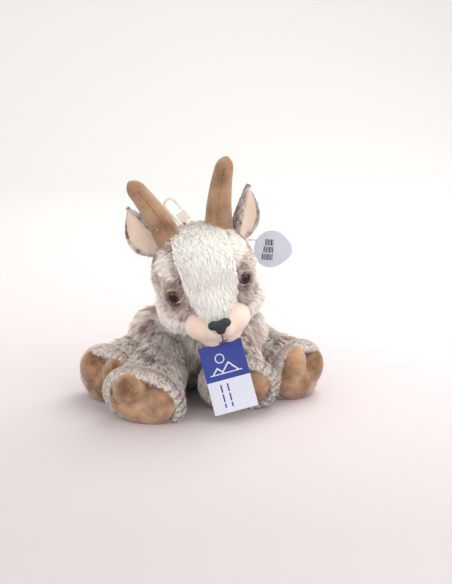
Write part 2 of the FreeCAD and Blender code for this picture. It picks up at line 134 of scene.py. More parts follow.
def build_stage():
    scene = bpy.context.scene
    scene.view_settings.view_transform = "Standard"
    world = bpy.data.worlds.new("studio")
    world.use_nodes = True
    world.node_tree.nodes["Background"].inputs["Color"].default_value = (1.0, 0.99, 0.985, 1)
    world.node_tree.nodes["Background"].inputs["Strength"].default_value = 0.88
    scene.world = world
    area_light("window", (0.55, 0.50, 1.30), 1.1, 17.0, (1.0, 0.99, 0.97))
    area_light("right_fill", (1.0, -0.9, 0.9), 1.4, 10.5, (1.0, 0.99, 0.98))
    area_light("left_fill", (-1.0, -0.9, 0.8), 1.4, 7.0, (0.98, 0.985, 1.0))
    build_floor()


def build_floor():
    """A paper sweep: flat floor, a quarter bend behind the toy and a wall, with painted shade: darker
    towards the front, paler towards the back.
    """
    mesh = bpy.data.meshes.new("floor")
    near, far, rise, wide, bend, steps = -3.0, 1.2, 2.2, 4.0, 0.8, 16
    outline = [(near, 0.0), (far, 0.0)]
    for count in range(1, steps + 1):
        angle = math.pi / 2 * count / steps
        outline.append((far + bend * math.sin(angle), bend * (1 - math.cos(angle))))
    outline.append((far + bend, rise))
    points = [(x, y, z) for y, z in outline for x in (-wide, wide)]
    faces = [(2 * i, 2 * i + 1, 2 * i + 3, 2 * i + 2) for i in range(len(outline) - 1)]
    mesh.from_pydata(points, [], faces)
    shade_smooth(mesh)
    floor = link("floor", mesh)
    mesh.materials.append(floor_material())


def floor_material():
    sheet = bpy.data.materials.new("floor_sheet")
    sheet.use_nodes = True
    tree = sheet.node_tree
    shader = tree.nodes["Principled BSDF"]
    shader.inputs["Roughness"].default_value = 0.6
    split = tree.nodes.new("ShaderNodeSeparateXYZ")
    tree.links.new(tree.nodes.new("ShaderNodeTexCoord").outputs["Object"], split.inputs["Vector"])
    reach = tree.nodes.new("ShaderNodeMapRange")
    reach.inputs["From Min"].default_value = -0.35
    reach.inputs["From Max"].default_value = 1.1
    tree.links.new(split.outputs["Y"], reach.inputs["Value"])
    # Painted shade: the sheet's colour darkens towards the front of the floor and pales towards the
    # back and the wall, standing in for the fall of the light.
    tone = ramp(tree, ((0.0, (184, 176, 177)), (0.35, (208, 200, 200)), (1.0, (228, 226, 224))),
                reach.outputs["Result"])
    tree.links.new(tone, shader.inputs["Base Color"])
    return sheet


# ---- materials ----

def linear(colour):
    """sRGB 0-255 to scene-linear."""
    return tuple(((c / 255 + 0.055) / 1.055) ** 2.4 if c > 10 else c / 255 / 12.92
                 for c in colour) + (1.0,)


def new_material(name, roughness=0.8, sheen=0.0, specular=0.3):
    material = bpy.data.materials.new(name)
    material.use_nodes = True
    shader = material.node_tree.nodes["Principled BSDF"]
    shader.inputs["Roughness"].default_value = roughness
    shader.inputs["Sheen Weight"].default_value = sheen
    shader.inputs["Sheen Roughness"].default_value = 0.5
    shader.inputs["Specular IOR Level"].default_value = specular
    return material, material.node_tree, shader


def ramp(tree, stops, factor):
    node = tree.nodes.new("ShaderNodeValToRGB")
    while len(node.color_ramp.elements) < len(stops):
        node.color_ramp.elements.new(0.5)
    for element, (place, colour) in zip(node.color_ramp.elements, stops):
        element.position = place
        element.color = linear(colour)
    tree.links.new(factor, node.inputs["Fac"])
    return node.outputs["Color"]


def mix(tree, factor, first, second):
    node = tree.nodes.new("ShaderNodeMix")
    node.data_type = "RGBA"
    tree.links.new(factor, node.inputs["Factor"])
    tree.links.new(first, node.inputs[6])
    tree.links.new(second, node.inputs[7])
    return node.outputs[2]


def fur_material(name, light, dark):
    """Strand colour from its own map: V runs root to tip, U from the light strands to the dark ones."""
    material, tree, shader = new_material(name, roughness=0.62, sheen=0.25, specular=0.2)
    chart = tree.nodes.new("ShaderNodeUVMap")
    chart.uv_map = "OFBake"
    split = tree.nodes.new("ShaderNodeSeparateXYZ")
    tree.links.new(chart.outputs["UV"], split.inputs["Vector"])
    pale = ramp(tree, light, split.outputs["Y"])
    deep = ramp(tree, dark, split.outputs["Y"])
    tree.links.new(mix(tree, split.outputs["X"], pale, deep), shader.inputs["Base Color"])
    return material


def noise_pattern(tree, scale, detail=2.0):
    """Noise over the object's own coordinates."""
    node = tree.nodes.new("ShaderNodeTexNoise")
    node.inputs["Scale"].default_value = scale
    node.inputs["Detail"].default_value = detail
    place = tree.nodes.new("ShaderNodeTexCoord")
    tree.links.new(place.outputs["Object"], node.inputs["Vector"])
    return node.outputs["Fac"]


def add_relief(tree, shader, height, strength, distance):
    relief = tree.nodes.new("ShaderNodeBump")
    relief.inputs["Strength"].default_value = strength
    relief.inputs["Distance"].default_value = distance
    tree.links.new(height, relief.inputs["Height"])
    tree.links.new(relief.outputs["Normal"], shader.inputs["Normal"])


def cloth_material(name, pale, deep, grain=900.0, patch=28.0, bump=0.35):
    """Short brushed pile: wide patches of painted shade and sheen, as the pile catches the light, fine
    grain, and a fine bump.
    """
    nap_shade_share, grain_share = 0.74, 0.30
    material, tree, shader = new_material(name, roughness=0.85, sheen=0.45, specular=0.15)
    # The wide noise paints the pile's shade and sheen into the colour; the fine noise is its grain.
    nap_shade = noise_pattern(tree, patch, 4.0)
    fine = noise_pattern(tree, grain, 3.0)
    part = tree.nodes.new("ShaderNodeMath")
    part.operation = "MULTIPLY"
    part.inputs[1].default_value = nap_shade_share
    tree.links.new(nap_shade, part.inputs[0])
    blend = tree.nodes.new("ShaderNodeMath")
    blend.operation = "MULTIPLY_ADD"
    blend.inputs[1].default_value = grain_share
    tree.links.new(fine, blend.inputs[0])
    tree.links.new(part.outputs[0], blend.inputs[2])
    tone = ramp(tree, ((0.40, deep), (0.64, pale)), blend.outputs[0])
    tree.links.new(tone, shader.inputs["Base Color"])
    add_relief(tree, shader, fine, bump, 0.0006)
    return material


def plain_material(name, colour, roughness=0.5, specular=0.5, grain=0.0, grain_scale=800.0):
    """A moulded or printed surface, slightly uneven in tone and, where asked, in relief."""
    material, tree, shader = new_material(name, roughness=roughness, specular=specular)
    pattern = noise_pattern(tree, grain_scale)
    darker = tuple(c * 0.95 for c in colour)
    tone = ramp(tree, ((0.3, darker), (0.7, colour)), pattern)
    tree.links.new(tone, shader.inputs["Base Color"])
    if grain:
        add_relief(tree, shader, pattern, grain, 0.0005)
    return material


TAUPE_FUR = fur_material(
    "taupe_fur_strands",
    light=((0.0, (206, 184, 170)), (0.25, (236, 221, 210)), (0.6, (250, 241, 234)),
           (1.0, (255, 252, 249))),
    dark=((0.0, (78, 56, 44)), (0.4, (112, 86, 70)), (0.75, (164, 138, 120)),
          (1.0, (226, 208, 194))),
)
WHITE_FUR = fur_material(
    "white_fur_strands",
    light=((0.0, (246, 242, 234)), (0.4, (254, 252, 246)), (1.0, (255, 254, 250))),
    dark=((0.0, (226, 218, 204)), (0.5, (244, 238, 228)), (1.0, (252, 248, 240))),
)
CREAM_FUR = fur_material(
    "cream_fur_strands",
    light=((0.0, (240, 230, 220)), (0.4, (252, 246, 238)), (1.0, (255, 252, 247))),
    dark=((0.0, (206, 188, 172)), (0.5, (234, 222, 210)), (1.0, (248, 240, 230))),
)
GREY_FUR = fur_material(
    "grey_belly_strands",
    light=((0.0, (96, 96, 100)), (1.0, (172, 170, 170))),
    dark=((0.0, (60, 60, 64)), (1.0, (120, 118, 120))),
)
BACKING = cloth_material("taupe_backing", (226, 206, 192), (186, 162, 146))
PALE_BACKING = cloth_material("pale_backing", (250, 244, 236), (236, 226, 214))
TAN_VELOUR = cloth_material("tan_velour", (190, 152, 120), (112, 78, 53), 1100.0, 46.0, 0.7)
HORN_VELOUR = cloth_material("horn_velour", (176, 140, 109), (120, 88, 64), 1100.0, 40.0, 0.7)
BEIGE_VELOUR = cloth_material("beige_velour", (236, 216, 200), (222, 198, 180), 1300.0, 40.0, 0.25)
DARK_THREAD = plain_material("dark_thread", (58, 42, 34), roughness=0.7)
TAN_THREAD = plain_material("horn_thread", (96, 62, 36), roughness=0.8)
NOSE_PLASTIC = plain_material("nose_plastic", (34, 38, 42), 0.42, grain=0.9, grain_scale=1500.0)
BLACK_PLASTIC = plain_material("pupil_plastic", (2, 2, 3), roughness=0.05, specular=0.4)
BROWN_PLASTIC = plain_material("iris_plastic", (78, 42, 26), roughness=0.08, specular=0.4)
BLUE_PRINT = plain_material("blue_print", (34, 54, 138), roughness=0.4)
WHITE_CARD = plain_material("white_card", (206, 208, 222), roughness=0.5)
INK = plain_material("ink", (52, 54, 62), roughness=0.5)
SATIN = plain_material("satin_label", (238, 238, 236), roughness=0.35, grain=0.3, grain_scale=2600.0)


def clear_material():
    material, _, shader = new_material("clear_plastic", roughness=0.12, specular=0.5)
    shader.inputs["Base Color"].default_value = linear((244, 236, 226))
    shader.inputs["Transmission Weight"].default_value = 0.72
    shader.inputs["IOR"].default_value = 1.46
    return material


CLEAR = clear_material()


# ---- mesh helpers ----

def link(name, data, *materials):
    piece = bpy.data.objects.new(name, data)
    for material in materials:
        data.materials.append(material)
    bpy.context.scene.collection.objects.link(piece)
    return piece


def shade_smooth(mesh):
    mesh.polygons.foreach_set("use_smooth", [True] * len(mesh.polygons))


def new_mesh(name, points, faces, place):
    """A mesh in metres from points in millimetres in the frame place."""
    mesh = bpy.data.meshes.new(name)
    mesh.from_pydata(points, [], faces)
    mesh.transform(Matrix.Scale(UNIT, 4) @ place)
    return mesh


def ball(rings=16, sectors=24):
    """Unit ball as vertices and faces."""
    points, faces = [(0, 0, 1)], []
    for ring in range(1, rings):
        tilt = math.pi * ring / rings
        for sector in range(sectors):
            turn = 2 * math.pi * sector / sectors
            wide = math.sin(tilt)
            points.append((wide * math.cos(turn), wide * math.sin(turn), math.cos(tilt)))
    points.append((0, 0, -1))
    last = len(points) - 1
    for sector in range(sectors):
        after = (sector + 1) % sectors
        faces.append((0, 1 + sector, 1 + after))
        faces.append((last, last - sectors + after, last - sectors + sector))
        for ring in range(rings - 2):
            a, b = 1 + ring * sectors, 1 + (ring + 1) * sectors
            faces.append((a + sector, b + sector, b + after, a + after))
    return np.array(points), faces


BALL_POINTS, BALL_FACES = ball()


def lump(centre, radii, turn=None):
    """An ellipsoid lump of a stuffed form: (centre, radii, turn)."""
    if not hasattr(radii, "__len__"):
        radii = (radii,) * 3
    return centre, radii, turn or Quaternion()


def apply_modifiers(piece):
    graph = bpy.context.evaluated_depsgraph_get()
    mesh = bpy.data.meshes.new_from_object(piece.evaluated_get(graph))
    old = piece.data
    piece.modifiers.clear()
    piece.data = mesh
    bpy.data.meshes.remove(old)


def subdivide(piece):
    finer = piece.modifiers.new("finer", "SUBSURF")
    finer.levels = finer.render_levels = 1
    apply_modifiers(piece)
    shade_smooth(piece.data)


def stuffed(name, lumps, place, voxel, smooth, material):
    """Lumps joined by a voxel remesh and smoothed, in the frame place (millimetres), in metres."""
    points, faces = [], []
    for centre, radii, turn in lumps:
        matrix = np.array(turn.to_matrix())
        base = len(points)
        shaped = (BALL_POINTS * np.array(radii)) @ matrix.T + np.array(centre)
        points.extend(map(tuple, shaped))
        faces.extend(tuple(base + i for i in face) for face in BALL_FACES)
    piece = link(name, new_mesh(name, points, faces, place))
    remesh = piece.modifiers.new("remesh", "REMESH")
    remesh.mode = "VOXEL"
    remesh.voxel_size = voxel * UNIT
    relax = piece.modifiers.new("relax", "SMOOTH")
    relax.factor = 0.5
    relax.iterations = smooth
    apply_modifiers(piece)
    piece.data.materials.append(material)
    shade_smooth(piece.data)
    return piece


def coordinates(mesh):
    flat = np.empty(len(mesh.vertices) * 3)
    mesh.vertices.foreach_get("co", flat)
    return flat.reshape(-1, 3)


def set_coordinates(mesh, points):
    mesh.vertices.foreach_set("co", np.ascontiguousarray(points, dtype=float).ravel())
    mesh.update()


def keep_above_floor(piece, height):
    points = coordinates(piece.data)
    points[:, 2] = np.maximum(points[:, 2], height * UNIT)
    set_coordinates(piece.data, points)


def finish_piece(piece, body, slot, *nodes, fill=None):
    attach(piece, body)
    if nodes:
        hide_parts(*nodes)


# ---- fur ----

def surface_samples(piece, count):
    """Points and normals spread evenly over a mesh, in millimetres."""
    mesh = piece.data
    mesh.calc_loop_triangles()
    corners = np.empty(len(mesh.loop_triangles) * 3, dtype=np.int32)
    mesh.loop_triangles.foreach_get("vertices", corners)
    corners = corners.reshape(-1, 3)
    points = coordinates(mesh) / UNIT
    normals = np.empty(len(mesh.vertices) * 3)
    mesh.vertices.foreach_get("normal", normals)
    normals = normals.reshape(-1, 3)
    a, b, c = points[corners[:, 0]], points[corners[:, 1]], points[corners[:, 2]]
    area = np.linalg.norm(np.cross(b - a, c - a), axis=1)
    chosen = random_state.choice(len(corners), size=count, p=area / area.sum())
    u, v = random_state.random(count), random_state.random(count)
    flip = u + v > 1
    u[flip], v[flip] = 1 - u[flip], 1 - v[flip]
    w = 1 - u - v
    spots = a[chosen] * w[:, None] + b[chosen] * u[:, None] + c[chosen] * v[:, None]
    out = (normals[corners[chosen, 0]] * w[:, None] + normals[corners[chosen, 1]] * u[:, None]
           + normals[corners[chosen, 2]] * v[:, None])
    return spots, unit(out)


def unit(vectors):
    return vectors / np.maximum(np.linalg.norm(vectors, axis=1, keepdims=True), 1e-9)


def to_local(points, place):
    inverse = np.array(place.inverted())
    return points @ inverse[:3, :3].T + inverse[:3, 3]


def turned(vectors, place):
    return vectors @ np.array(place)[:3, :3].T


def patchy(points, scale, seed=0.0):
    """Smooth noise in 0..1 at each point, in upright streaks about scale millimetres wide."""
    shift = Vector((seed, seed * 1.7, -seed))
    values = [noise.noise(Vector((x, y, z * 0.5)) / scale + shift) for x, y, z in points]
    return np.clip(np.array(values) * 0.9 + 0.5, 0, 1)


STRAND_WIDTH = 0.42
ROOT_DEPTH = 0.6
FUR_FLOOR = 0.4


def fur(name, base, count, material, flow, length, tone, keep=None, lift=0.45, tuft=3.2,
        clump=0.55, streaks=0.0):
    """Tapered strands over a base form, gathered in tufts. flow, length, tone and keep are functions
    of the roots (millimetres) and normals; lift is how far strands stand up, tuft and clump set how
    coarse and how tight the tufts are, and streaks is the share of darker tufts."""
    roots, normals = surface_samples(base, count)
    if keep is not None:
        kept = keep(roots, normals)
        roots, normals = roots[kept], normals[kept]
    total = len(roots)
    run = flow(roots, normals)
    run = unit(run - normals * np.sum(run * normals, axis=1, keepdims=True))
    jitter = random_state.normal(size=(total, 3)) * 0.16
    heading = unit(run * (1 - lift) + normals * lift + jitter)
    reach = length(roots, normals) * (0.78 + 0.4 * random_state.random(total))
    dark = tone(roots, normals)

    centres = max(8, int(total / (1.25 * tuft * tuft)))
    picks = random_state.choice(total, size=min(centres, total), replace=False)
    tree = kdtree.KDTree(len(picks))
    for index, pick in enumerate(picks):
        tree.insert(roots[pick], index)
    tree.balance()
    owner = picks[np.array([tree.find(root)[1] for root in roots])]
    tuft_tone = (random_state.normal(size=total) * 0.07)[owner]
    tuft_tone += ((random_state.random(total) < streaks) * 0.55)[owner]
    tuft_bend = (random_state.normal(size=(total, 3)) * 0.22)[owner]
    heading = unit(heading + tuft_bend)

    middles = roots + heading * (reach * 0.5)[:, None]
    tips = roots + unit(heading * 0.75 + run * 0.55) * reach[:, None]
    gather = clump * (0.6 + 0.4 * random_state.random(total))[:, None]
    tips = tips + (tips[owner] - tips) * gather
    middles = middles + (middles[owner] - middles) * gather * 0.35
    across = unit(np.cross(heading, normals) + random_state.normal(size=(total, 3)) * 0.35)
    half = across * (STRAND_WIDTH / 2 * (0.7 + 0.6 * random_state.random(total)))[:, None]

    sunk = roots - normals * ROOT_DEPTH
    inner = half * 0.9
    rows = np.stack([sunk - half, sunk + half, middles - inner, middles + inner, tips], axis=1)
    points = rows.reshape(-1, 3)
    points[:, 2] = np.maximum(points[:, 2], FUR_FLOOR)
    first = np.arange(total) * 5
    quads = np.stack([first, first + 1, first + 3, first + 2], axis=1)
    tip_faces = np.stack([first + 2, first + 3, first + 4], axis=1)
    loops = np.concatenate([quads, tip_faces], axis=1).ravel()
    starts = (np.arange(total)[:, None] * 7 + np.array([0, 4])).ravel()
    shade = np.clip(dark + tuft_tone + random_state.normal(size=total) * 0.1, 0.01, 0.99)
    return link(name, strand_mesh(name, points, loops, starts, shade), material)


def strand_mesh(name, points, loops, starts, shade):
    """The strands' mesh, each a quad and a triangle, with their colour map."""
    mesh = bpy.data.meshes.new(name)
    mesh.vertices.add(len(points))
    mesh.vertices.foreach_set("co", (points * UNIT).ravel())
    mesh.loops.add(len(loops))
    mesh.loops.foreach_set("vertex_index", loops.astype(np.int32))
    mesh.polygons.add(len(starts))
    mesh.polygons.foreach_set("loop_start", starts.astype(np.int32))
    mesh.update(calc_edges=True)
    chart = mesh.uv_layers.new(name="OFBake")
    heights = np.array([0.02, 0.02, 0.5, 0.5, 0.98])
    corner_rows = np.array([0, 1, 3, 2, 2, 3, 4])
    maps = np.empty((len(shade), 7, 2))
    maps[:, :, 0] = shade[:, None]
    maps[:, :, 1] = heights[corner_rows][None, :]
    chart.data.foreach_set("uv", maps.ravel())
    shade_smooth(mesh)
    return mesh


def even(value):
    return lambda roots, normals: np.full(len(roots), float(value))


def steady(lead):
    """The same lie of the pile everywhere."""
    return lambda roots, normals: np.tile(lead, (len(roots), 1))


# ---- torso, neck and tail ----

def build_torso():
    low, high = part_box("back_panel_left")
    low_right, high_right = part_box("back_panel_right")
    centre_y = ((low.y + high.y) / 2 + (low_right.y + high_right.y) / 2) / 2 / UNIT - 1.5
    lumps = [
        lump((0, centre_y, 42), (60, 55, 53)),
        lump((0, -38, 62), (40, 24, 34)),
        lump((-42, -22, 52), (28, 27, 29)),
        lump((38, -26, 56), (26, 24, 28)),
        lump((-46, 2, 32), (24, 34, 28)),
        lump((46, 8, 32), (24, 34, 28)),
        lump(NECK + Vector((0, 2, -4)), (25, 24, 24)),
        lump((0, -8, 16), (50, 50, 15)),
    ]
    base = stuffed("torso_form", lumps, Matrix(), 3.6, 5, BACKING)
    keep_above_floor(base, 0.5)
    finish_piece(base, "torso", "taupe_fur", "back_panel_left", "back_panel_right", "belly_panel",
                 "seat_panel", "body_stuffing", "bean_pouch", fill=0.7)

    def belly(roots):
        return (roots[:, 1] < -12) & (roots[:, 2] < 34) & (np.abs(roots[:, 0]) < 42)

    def flow(roots, normals):
        down = np.tile((0.0, 0.25, -1.0), (len(roots), 1))
        down[:, 0] = roots[:, 0] * 0.012
        return down

    def tone(roots, normals):
        return 0.02 + 0.85 * patchy(roots, 9.0, 3.0) ** 3.2

    for side, sign in SIDES.items():
        def keep(roots, normals, sign=sign):
            return (roots[:, 0] * sign >= 0) & ~belly(roots) & (roots[:, 2] > 3)
        coat = fur(f"back_fur_{side}", base, 118000, TAUPE_FUR, flow, even(11.0), tone, keep,
                   streaks=0.10)
        finish_piece(coat, "torso", "taupe_fur")
    under = fur("belly_fur", base, 60000, GREY_FUR, flow, even(4.5), even(0.4),
                lambda roots, normals: belly(roots) & (roots[:, 2] > 1.5), lift=0.6)
    finish_piece(under, "torso", "belly_plush")


def build_neck():
    lumps = [lump(NECK, (27, 26, 25)), lump(NECK + Vector((1, -8, 8)), (29, 25, 22))]
    base = stuffed("neck_form", lumps, Matrix(), 3.6, 4, BACKING)
    finish_piece(base, "neck", "taupe_fur", "neck_cover", "neck_stuffing", fill=0.7)

    coat = fur("neck_fur", base, 26000, TAUPE_FUR, steady((0.0, 0.0, -1.0)), even(10.0),
               lambda r, n: 0.08 + 0.85 * patchy(r, 9.0, 5.0) ** 2.6, streaks=0.10)
    finish_piece(coat, "neck", "taupe_fur")


def build_tail():
    low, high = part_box("tail_fur")
    mid = (low + high) / 2 / UNIT
    root = pivot("tail_wag")
    along = (mid - root).normalized()
    turn = along.to_track_quat("Z", "Y")
    lumps = [lump(root + along * 4, (8, 8, 9), turn), lump(mid, (9, 6.5, 14), turn)]
    base = stuffed("tail_form", lumps, Matrix(), 2.4, 3, BACKING)
    finish_piece(base, "tail", "taupe_fur", "tail_fur", "tail_stuffing", fill=0.6)
    coat = fur("tail_coat", base, 11000, TAUPE_FUR, steady(np.array(along)), even(9.0),
               lambda r, n: 0.08 + 0.8 * patchy(r, 8.0, 8.0) ** 2)
    finish_piece(coat, "tail", "taupe_fur")


# ---- head ----

CHEEK, BLAZE, JOWL, CROWN, BROW = range(5)
EYE_GAP = 7.9


def face_zone(local):
    """Which patch of fur each point of the head belongs to."""
    x, y, z = local[:, 0], local[:, 1], local[:, 2]
    zone = np.full(len(local), CHEEK)
    zone[y > 26] = CROWN
    down_face = -(y + z)
    width = np.interp(down_face, [-60, -30, 0, 20, 35, 50, 62, 80], [24, 26, 25, 24, 21, 18, 14, 8])
    zone[(z < np.minimum(7 + 0.62 * (y + 10), 9)) & (y < 26)] = JOWL
    zone[(np.abs(x) > 27) & (np.abs(z + 0.3 * np.abs(x) - 42) < 5.5) & (y < 4)] = BROW
    zone[(np.abs(x - 2) < width) & (y < 31) & (z > -26)] = BLAZE
    return zone


def build_head():
    lumps = [
        lump((0, 2, 3), (48, 45, 46)),
        lump((-25, -16, -18), (26, 26, 25)),
        lump((25, -16, -18), (26, 26, 25)),
        lump((-22, -26, 10), (19, 14, 18)),
        lump((22, -26, 10), (19, 14, 18)),
        lump((0, -34, -2), (20, 24, 22)),
        lump((0, -46, -10), (15, 15, 13)),
        lump((0, -22, 28), (28, 18, 21)),
    ]
    base = stuffed("head_form", lumps, HEAD, 3.0, 16, PALE_BACKING)
    nodes = ["blaze_panel", "head_back_panel", "head_stuffing", "nose_washer"]
    nodes += [f"{part}_{side}" for part in ("cheek_panel", "jowl_panel") for side in SIDES]
    nodes += [f"eye_{side}_washer" for side in SIDES]
    finish_piece(base, "head", "white_fur", *nodes, fill=0.8)
    eyes = {side: to_local(np.array([middle(f"eye_{side}")]), HEAD)[0] for side in SIDES}

    def clear_of_eyes(local):
        clear = np.ones(len(local), dtype=bool)
        for eye in eyes.values():
            clear &= np.linalg.norm(local - eye, axis=1) > EYE_GAP
        snout = (local[:, 1] < -42) & (local[:, 2] < -8)
        return clear & ~snout

    def zone_is(number, sign=None):
        def keep(roots, normals):
            local = to_local(roots, HEAD)
            kept = (face_zone(local) == number) & clear_of_eyes(local)
            if sign is not None:
                kept &= local[:, 0] * sign >= 0
            return kept
        return keep

    def local_flow(direction):
        def flow(roots, normals):
            local = to_local(roots, HEAD)
            return turned(direction(local), HEAD)
        return flow

    def down_face(local):
        run = np.tile((0.0, -1.0, 0.1), (len(local), 1))
        run[:, 0] = local[:, 0] * 0.006
        run[local[:, 2] <= 34, 2] = -0.8
        return run

    def down_cheek(local):
        run = np.tile((0.0, 0.35, -0.8), (len(local), 1))
        run[:, 0] = np.sign(local[:, 0]) * 0.5
        return run

    def down_back(local):
        return np.tile((0.0, 0.3, -1.0), (len(local), 1))

    def cheek_tone(roots, normals):
        local = to_local(roots, HEAD)
        tone = 0.16 + 0.55 * patchy(roots, 6.0, 1.0) ** 2.0
        for side, sign in SIDES.items():
            eye = eyes[side]
            near = np.linalg.norm((local - eye) * np.array([1, 1, 0.8]), axis=1)
            tone += 0.45 * np.exp(-((near - 9.0) / 2.6) ** 2)
            streak = np.array([sign * 25, -46, -7])
            tone += 0.8 * np.exp(-(np.linalg.norm(local - streak, axis=1) / 7.5) ** 2)
            root = np.array([sign * 37, 10, 28])
            tone += 0.6 * np.exp(-(np.linalg.norm(local - root, axis=1) / 10.0) ** 2)
        return tone

    blaze = fur("blaze_fur", base, 150000, WHITE_FUR, local_flow(down_face), even(7.0),
                lambda r, n: 0.4 * patchy(r, 7.0, 2.0) ** 2, zone_is(BLAZE), lift=0.20,
                tuft=2.2, clump=0.3)
    finish_piece(blaze, "head", "white_fur")
    for side, sign in SIDES.items():
        cheek = fur(f"cheek_fur_{side}", base, 150000, TAUPE_FUR, local_flow(down_cheek), even(7.5),
                    cheek_tone, zone_is(CHEEK, sign), lift=0.36, tuft=2.6, streaks=0.10)
        finish_piece(cheek, "head", "taupe_fur")
        jowl = fur(f"jowl_fur_{side}", base, 130000, CREAM_FUR, local_flow(down_cheek), even(9.0),
                   lambda r, n: 0.5 * patchy(r, 7.0, 6.0) ** 2, zone_is(JOWL, sign), lift=0.36)
        finish_piece(jowl, "head", "cream_fur")
    for side, sign in SIDES.items():
        brow = fur(f"brow_fur_{side}", base, 150000, CREAM_FUR, local_flow(down_cheek), even(7.0),
                   lambda r, n: 0.05 + 0.4 * patchy(r, 6.0, 7.0), zone_is(BROW, sign), lift=0.36)
        finish_piece(brow, "head", "cream_fur")
    crown = fur("head_back_fur", base, 120000, TAUPE_FUR, local_flow(down_back), even(9.0),
                lambda r, n: 0.03 + 0.85 * patchy(r, 9.0, 4.0) ** 3, zone_is(CROWN), streaks=0.1)
    finish_piece(crown, "head", "taupe_fur")


def build_muzzle():
    for side, sign in SIDES.items():
        lumps = [
            lump((sign * 12.5, -44, -20.5), (20, 18, 16.5)),
            lump((sign * 6, -52, -19), (10, 14.5, 13)),
            lump((sign * 8, -47, -34), (14, 15, 11)),
        ]
        puff = stuffed(f"muzzle_{side}", lumps, HEAD, 1.6, 22, BEIGE_VELOUR)
        local = to_local(coordinates(puff.data) / UNIT, HEAD)
        past = local[:, 0] * sign < 0.15
        local[past, 0] = 0.15 * sign
        matrix = np.array(HEAD)
        set_coordinates(puff.data, (local @ matrix[:3, :3].T + matrix[:3, 3]) * UNIT)
        finish_piece(puff, "head", "beige_velour", f"muzzle_panel_{side}", fill=0.8)
    seam_points = [(0, -66.2, -18), (0, -67.0, -22), (0, -66.5, -25.5), (0, -65, -28.5)]
    seam = tube("mouth_middle", seam_points, 0.55, HEAD, DARK_THREAD)
    finish_piece(seam, "head", "thread", "mouth_stitch")
    turns = {"left": [(0, -65.2, -28), (-2.0, -63.6, -31.5), (-4.2, -61.8, -33.5)],
             "right": [(0, -65.2, -28), (2.4, -64.6, -29.6), (4.8, -63.6, -30.2)]}
    for side, points in turns.items():
        finish_piece(tube(f"mouth_{side}", points, 0.5, HEAD, DARK_THREAD), "head", "thread")


def tube(name, points, radius, place, material):
    """A round thread or wire along a smooth curve through a few points."""
    curve = bpy.data.curves.new(name, "CURVE")
    curve.dimensions = "3D"
    spline = curve.splines.new("NURBS")
    spline.points.add(len(points) - 1)
    for point, spot in zip(spline.points, points):
        point.co = (*(place @ Vector(spot) * UNIT), 1)
    spline.order_u = 3
    spline.use_endpoint_u = True
    curve.bevel_depth = radius * UNIT
    curve.bevel_resolution = 3
    curve.resolution_u = 4
    curve.use_fill_caps = True
    return link(name, curve, material)


def build_eyes():
    """Domed eyes: a black pupil inside a narrow brown iris."""
    radii, seat_depth, pupil_edge, iris_edge = (6.2, 6.2, 4.8), 6.3, 5.1, 6.1
    for side in SIDES:
        centre = to_local(np.array([middle(f"eye_{side}")]), HEAD)[0]
        out = (Vector(centre) + Vector((0, -22, 4))).normalized()
        seat = Vector(centre) + Vector(centre).normalized() * seat_depth
        turn = out.to_track_quat("Z", "Y")
        place = HEAD @ Matrix.Translation(seat) @ turn.to_matrix().to_4x4()
        shape = BALL_POINTS * np.array(radii)
        mesh = new_mesh(f"eye_ball_{side}", [tuple(p) for p in shape], BALL_FACES, place)
        shade_smooth(mesh)
        eye = link(f"eye_ball_{side}", mesh, BROWN_PLASTIC, BLACK_PLASTIC)
        flat = np.linalg.norm(shape[:, :2], axis=1)
        for polygon in mesh.polygons:
            far = max(flat[i] for i in polygon.vertices)
            polygon.material_index = 0 if pupil_edge <= far <= iris_edge else 1
        finish_piece(eye, "head", "eye_plastic", f"eye_{side}")


def build_nose():
    lumps = [
        lump((-5.6, -65.5, -4.6), (5.6, 4.4, 4.6)),
        lump((5.6, -65.5, -4.6), (5.6, 4.4, 4.6)),
        lump((0, -66.5, -7.5), (6.2, 4.6, 5.2)),
        lump((0, -66.8, -11.5), (4.6, 4.0, 4.4)),
        lump((0, -66.2, -4.4), (6.0, 4.2, 3.8)),
    ]
    nose = stuffed("nose_pad", lumps, HEAD, 0.8, 4, NOSE_PLASTIC)
    finish_piece(nose, "head", "nose_plastic", "nose")


# ---- horns and ears ----

HORN_RINGS = 24
HORN_REACH = 74.0
HORN_OVAL = 0.92
HORN_CAP = 0.84      # share of the length where the rounded tip starts
GROOVE_DEPTH = 0.09


def horn_ring(sign, share):
    """Centre, turn and radius of a horn at a share of its length, in the head's frame."""
    at = Vector((sign * 23, 17, 31))
    for count in range(int(share * HORN_RINGS) + 1):
        part = count / HORN_RINGS
        turn = (Quaternion((0, 1, 0), math.radians(sign * (12 + 20 * part)))
                @ Quaternion((1, 0, 0), math.radians(-(30 - 4 * part))))
        if count:
            at = at + turn @ Vector((0, 0, HORN_REACH / HORN_RINGS))
    radius = 14.4 - 6.2 * share
    if share > HORN_CAP:
        radius *= math.sqrt(max(0.02, 1 - ((share - HORN_CAP) / 0.16) ** 2))
    return at, turn, radius


